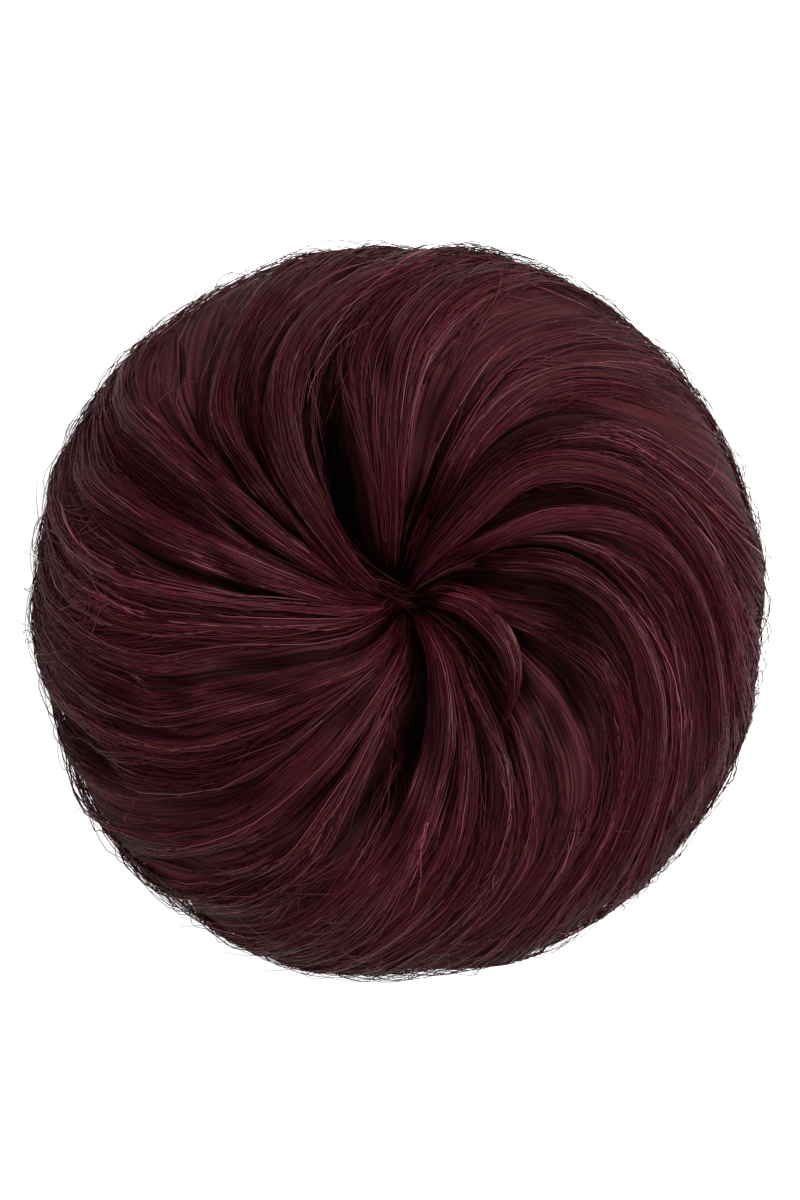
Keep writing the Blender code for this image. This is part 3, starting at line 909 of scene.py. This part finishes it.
PATH_STEPS = 60
SPREAD_STEPS = (0, 0.12, 0.4, 0.7, 1)
FANNED = (0.15, 0.28, 0.62, 0.9, 1.3)
POINTED = (0.4, 0.65, 0.85, 0.7, 0.2)


def make_top_locks():
    """The locks that lie over the coat, and the short curl beside the parting."""
    for lock in TOP_LOCKS:
        start = np.array([lock.start - LOCK_REACH[0]])
        end = np.array([lock.end + LOCK_REACH[1]])
        station = even_stations(start, end, PATH_STEPS)[0]
        angle = direction(np.full(PATH_STEPS, float(lock.row)), station)
        brightness = random.lognormal(0, 0.05)
        width = lock.width * MM
        make_lock_strands(lock.name, station, angle, width, lock.thickness * MM, FANNED, brightness)
    along = np.linspace(0, len(CURL_PATH) - 1, PATH_STEPS)
    knots = range(len(CURL_PATH))
    radii = [smooth(x, knots, [point.radius for point in CURL_PATH]) for x in along]
    angle = np.array([smooth(x, knots, [point.angle for point in CURL_PATH]) for x in along])
    station = np.array([station_at(radius) for radius in radii])
    make_lock_strands(CURL_NAME, station, angle, CURL_WIDTH, CURL_THICKNESS, POINTED, CURL_PAINTED_LIGHT)


# Roots that cross over the pit, from the locks on the left into the depth on the right

PIT_HAIRS = 90
PIT_RINGS = 10
PIT_SECTORS = ((128, 172), (128, 172), (195, 235))
PIT_NEAR_STATIONS = (0.34, 0.55)
PIT_FAR_STATIONS = (0.08, 0.26)
PIT_FAR_DEPTH = 2.0 * MM
PIT_CROSSING = 200
PIT_CROSSING_SPREAD = 25
PIT_SAG = 1.4 * MM
# Painted shade: the hairs that cross the pit are painted darker, as little light gets down there
PIT_HAIR_SHADE = 0.42


def make_pit_hairs():
    """Single hairs that leave the locks by the pit, cross it and sink away on its other side."""
    along = np.linspace(0, 1, PIT_RINGS)[:, None]
    sector = np.array(PIT_SECTORS)[random.integers(0, len(PIT_SECTORS), PIT_HAIRS)]
    near = random.uniform(sector[:, 0], sector[:, 1])
    far = near + PIT_CROSSING + random.normal(0, PIT_CROSSING_SPREAD, PIT_HAIRS)
    near_station = random.uniform(*PIT_NEAR_STATIONS, PIT_HAIRS)
    near_height = relief(place_towards(near, 0.45), near_station) - 0.4 * MM
    starts, normals = hair_points(near, near_station, near_height)
    ends, _ = hair_points(far, random.uniform(*PIT_FAR_STATIONS, PIT_HAIRS), -PIT_FAR_DEPTH)
    points = starts[:, None] * (1 - along) + ends[:, None] * along
    points[:, :, 2] -= PIT_SAG * np.sin(pi * along[:, 0])
    points[:, :, :2] += waves(PIT_HAIRS, PIT_RINGS, 0.5, 1)[:, :, None] * 0.25 * MM
    normals = np.repeat(normals[:, None], PIT_RINGS, axis=1)
    tones = strand_tones(PIT_HAIRS, PIT_RINGS) * PIT_HAIR_SHADE
    new_strands("hair_pit_roots", points, normals, tapered(fibre_radii(PIT_HAIRS), PIT_RINGS), tones, hair)


# Loose hair: flyaways over the crown, fringe, and strays, broken ends, fuzz and bundles by the rim.
# A row has ranges of stations for the start, of steps from there to the end, of turns in degrees
# and of lifts in millimetres, and the sizes of width, frizz and fineness are in millimetres too.

# A loose hair that runs deeper than this into a deep place, where 1 is its middle, is left out
DEEPEST_CROSSED = 0.15
LOOSE_TURN_AT_CROWN = 0.35
LOOSE_SINK = 0.5 * MM
LOOSE_END_LIMITS = (0.02, 2.9)

Loose = namedtuple("Loose", "name bundles hairs rings start end turn lift width frizz fine tone ends_free")
LOOSE = (
    Loose(
        "hair_flyaways", 240, 1, 14, start=(0.7, 1.6), end=(0.3, 0.9), turn=(-16, 18),
        lift=(0.8, 2.2), width=0.0, frizz=0.5, fine=0.042, tone=1.4, ends_free=False,
    ),
    Loose(
        "hair_fringe", 820, 1, 10, start=(0.75, 1.95), end=(0.15, 0.45), turn=(-22, 20),
        lift=(0.4, 1.4), width=0.0, frizz=0.4, fine=0.042, tone=1.2, ends_free=True,
    ),
    Loose(
        "hair_rim_strays", 460, 1, 14, start=(1.45, 2.3), end=(-0.2, 0.4), turn=(-26, 2),
        lift=(-0.1, 2.4), width=0.0, frizz=0.5, fine=0.05, tone=0.9, ends_free=False,
    ),
    Loose(
        "hair_broken_ends", 160, 1, 8, start=(1.2, 2.7), end=(0.05, 0.4), turn=(-10, 10),
        lift=(1.0, 4.0), width=0.0, frizz=0.3, fine=0.045, tone=1.3, ends_free=True,
    ),
    Loose(
        "hair_rim_fuzz", 480, 1, 9, start=(1.75, 2.15), end=(-0.08, 0.2), turn=(-14, -2),
        lift=(0.5, 2.2), width=0.0, frizz=0.8, fine=0.07, tone=0.55, ends_free=False,
    ),
    Loose(
        "hair_rim_belt", 50, 10, 14, start=(1.5, 2.2), end=(-0.1, 0.5), turn=(-56, -18),
        lift=(-0.5, 0.8), width=3.2, frizz=0.3, fine=0.07, tone=1.1, ends_free=False,
    ),
)


def make_loose(loose):
    """Hairs that leave the coat and come back to it, or end free, one by one or in bundles."""
    bundle = np.repeat(np.arange(loose.bundles), loose.hairs)
    count = len(bundle)
    along = np.linspace(0, 1, loose.rings)
    start = random.uniform(*loose.start, loose.bundles)
    end = start + random.uniform(*loose.end, loose.bundles)
    across = random.uniform(-1, 1, count)[:, None] * loose.width / 2 * MM * np.sin(pi * along * 0.8 + 0.3)
    station = even_stations(start[bundle], np.clip(end[bundle], *LOOSE_END_LIMITS), loose.rings)
    station = np.interp(tabled(LENGTH, station) + across, LENGTH, STATIONS)
    turn = random.uniform(*loose.turn, loose.bundles)
    turn = turn * np.interp(start, CALMING, (LOOSE_TURN_AT_CROWN, 1))
    turn = turn[bundle][:, None]
    bend = random.uniform(0.7, 1.6, loose.bundles)[bundle][:, None]
    place = place_towards(random.uniform(0, 360, loose.bundles), 1.2)[bundle][:, None]
    angle = direction(place + np.zeros(station.shape), station) + turn * along ** bend
    angle = angle + random.uniform(-4, 4, count)[:, None] * (loose.hairs > 1)
    radius = tabled(SECTION[:, 0], station)
    frizz = loose.frizz * MM * np.interp(station, CALMING, (LOOSE_TURN_AT_CROWN, 1))
    angle = angle + np.degrees(waves(count, loose.rings, 0.8, 1.8) * frizz / radius)
    lift = random.uniform(*loose.lift, count)[:, None] * MM
    rise = along ** 1.5 if loose.ends_free else np.sin(pi * along)
    height = lift * rise - LOOSE_SINK
    height = height + waves(count, loose.rings, 0.8, 1.8) * RIPPLE_HEIGHT * rise
    points, normals = hair_points(angle, station, height)
    radii = tapered(random.uniform(0.8, 1.3, count) * loose.fine * MM, loose.rings, tip=0.4)
    points[:, :, 2] = np.maximum(points[:, :, 2], radii + FLOOR_ROOM)
    tones = strand_tones(count, loose.rings, 0.4) * loose.tone
    kept = hollowness(angle, station).max(axis=1) < DEEPEST_CROSSED
    new_strands(loose.name, points[kept], normals[kept], radii[kept], tones[kept], hair)


# Underneath: hair runs in from the rim to the band, and on over the hollow's ceiling

UNDERSIDE = Tufts(100, 7, 9, 2.35, 0.2, 4.75, 0.2, (2.0, 5.0), (0.1, 0.3), (-0.35, 0.15), 0.5, ALL_ROUND)
CEILING_HAIR = Tufts(70, 7, 7, 6.02, 0.02, 6.9, 0.08, (2.0, 4.0), (0.1, 0.4), (0.0, 0.2), 0.5, ALL_ROUND)


# Elastic band: a knitted cover, with ribs that wind round it

BAND_COLUMNS = 288
BAND_RING = 20
BAND_RIBS = 48
RIB_HEIGHT = 0.16 * MM

# Flecks a metre, and the positions and colours of the darker and the paler yarn
YARN_FLECKS = 1600
YARN_COLOURS = ((0.35, (0.014, 0.004, 0.006, 1.0)), (0.7, (0.055, 0.019, 0.026, 1.0)))


def knit_material():
    """Knitted yarn: flecks of darker and paler fibre, with a fine bump."""
    material, shader = principled("elastic_knit", 0.85, 0.2)
    nodes = material.node_tree.nodes
    links = material.node_tree.links
    where = nodes.new("ShaderNodeTexCoord")
    flecks = nodes.new("ShaderNodeTexNoise")
    flecks.inputs["Scale"].default_value = YARN_FLECKS
    flecks.inputs["Detail"].default_value = 4
    colours = nodes.new("ShaderNodeValToRGB")
    for stop, (position, colour) in zip(colours.color_ramp.elements, YARN_COLOURS):
        stop.position = position
        stop.color = colour
    bump = nodes.new("ShaderNodeBump")
    bump.inputs["Strength"].default_value = 0.5
    bump.inputs["Distance"].default_value = 0.15 * MM
    links.new(where.outputs["Object"], flecks.inputs["Vector"])
    links.new(flecks.outputs["Fac"], colours.inputs["Fac"])
    links.new(colours.outputs["Color"], shader.inputs["Base Color"])
    links.new(flecks.outputs["Fac"], bump.inputs["Height"])
    links.new(bump.outputs["Normal"], shader.inputs["Normal"])
    return material


def make_elastic():
    """The covered band: a closed ring with ribs that wind both ways round it."""
    vertices = []
    faces = []
    for i in range(BAND_COLUMNS):
        turn = 2 * pi * i / BAND_COLUMNS
        for j in range(BAND_RING):
            around = 2 * pi * j / BAND_RING
            rib = abs(np.sin(BAND_RIBS * turn / 2 + around)) + abs(np.sin(BAND_RIBS * turn / 2 - around))
            radius = BAND_THICKNESS / 2 + RIB_HEIGHT * (rib - 1.3)
            across = BAND_RADIUS + radius * np.cos(around)
            point = (across * np.cos(turn), across * np.sin(turn), BAND_HEIGHT + radius * np.sin(around))
            vertices.append(point)
            ahead_i = (i + 1) % BAND_COLUMNS
            ahead_j = (j + 1) % BAND_RING
            corners = ((i, j), (ahead_i, j), (ahead_i, ahead_j), (i, ahead_j))
            faces.append(tuple(column * BAND_RING + row for column, row in corners))
    mesh = bpy.data.meshes.new("elastic_cover")
    mesh.from_pydata(vertices, [], faces)
    mesh.validate()
    mesh.shade_smooth()
    mesh.materials.append(knit_material())
    cover = bpy.data.objects.new("elastic_cover", mesh)
    bpy.context.scene.collection.objects.link(cover)
    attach(cover, "root")
    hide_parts("elastic_band")


# Floor, light and camera

FLOOR_SIZE = 6


def make_floor():
    """A plain pale floor, which isn't part of the object."""
    bpy.ops.mesh.primitive_plane_add(size=FLOOR_SIZE, location=(0, 0, 0))
    floor = bpy.context.object
    floor.name = "floor"
    material, shader = principled("floor_paper", 0.9, 0.1)
    shader.inputs["Base Color"].default_value = FLOOR_COLOUR
    floor.data.materials.append(material)


Softbox = namedtuple("Softbox", "name x y z size power")
SOFTBOXES = (
    Softbox("key_light", 0.68, 0.36, 1.05, 0.9, 31.0),
    Softbox("fill_light", -0.25, -0.15, 1.30, 0.9, 14.0),
)
WORLD_STRENGTH = 0.68


def make_lights():
    """Two round soft lights, and an even white world."""
    for box in SOFTBOXES:
        light = bpy.data.lights.new(box.name, "AREA")
        light.shape = "DISK"
        light.size = box.size
        light.energy = box.power
        lamp = bpy.data.objects.new(box.name, light)
        lamp.location = (box.x, box.y, box.z)
        down = -np.array([box.x, box.y, box.z])
        lamp.rotation_euler = look_along(down)
        bpy.context.scene.collection.objects.link(lamp)
    world = bpy.data.worlds.new("studio")
    world.use_nodes = True
    background = world.node_tree.nodes["Background"]
    background.inputs["Color"].default_value = (1, 1, 1, 1)
    background.inputs["Strength"].default_value = WORLD_STRENGTH
    bpy.context.scene.world = world


def look_along(vector):
    """The rotation that turns a light or camera, which looks down -Z, along a vector."""
    return Vector(vector).to_track_quat("-Z", "Y").to_euler()


def make_camera():
    """A long lens straight above, with the photograph's frame and the bun at the same place."""
    frame_height = PHOTO_HEIGHT * METRES_PER_PIXEL
    data = bpy.data.cameras.new("camera")
    data.sensor_fit = "VERTICAL"
    data.sensor_height = SENSOR_HEIGHT
    data.lens = SENSOR_HEIGHT * CAMERA_DISTANCE / frame_height
    camera = bpy.data.objects.new("camera", data)
    off_x = (PHOTO_WIDTH / 2 - OUTLINE_CENTRE_PIXEL[0]) * METRES_PER_PIXEL
    off_y = (OUTLINE_CENTRE_PIXEL[1] - PHOTO_HEIGHT / 2) * METRES_PER_PIXEL
    camera.location = (off_x, off_y, RIM_HEIGHT + CAMERA_DISTANCE)
    bpy.context.scene.collection.objects.link(camera)
    bpy.context.scene.camera = camera
    bpy.context.scene.view_settings.view_transform = "Standard"


make_camera()
make_lights()
make_floor()
make_under_mass()
make_tufts(COAT, "hair_coat", COAT_PIECES, True)
make_tufts(SHORT, "hair_short", 1, False)
make_tufts(FEATHERS, "hair_feathers", 1, False)
make_top_locks()
make_pit_hairs()
for loose in LOOSE:
    make_loose(loose)
make_tufts(UNDERSIDE, "hair_underside", 1, False)
make_tufts(CEILING_HAIR, "hair_hollow", 1, False)
make_elastic()
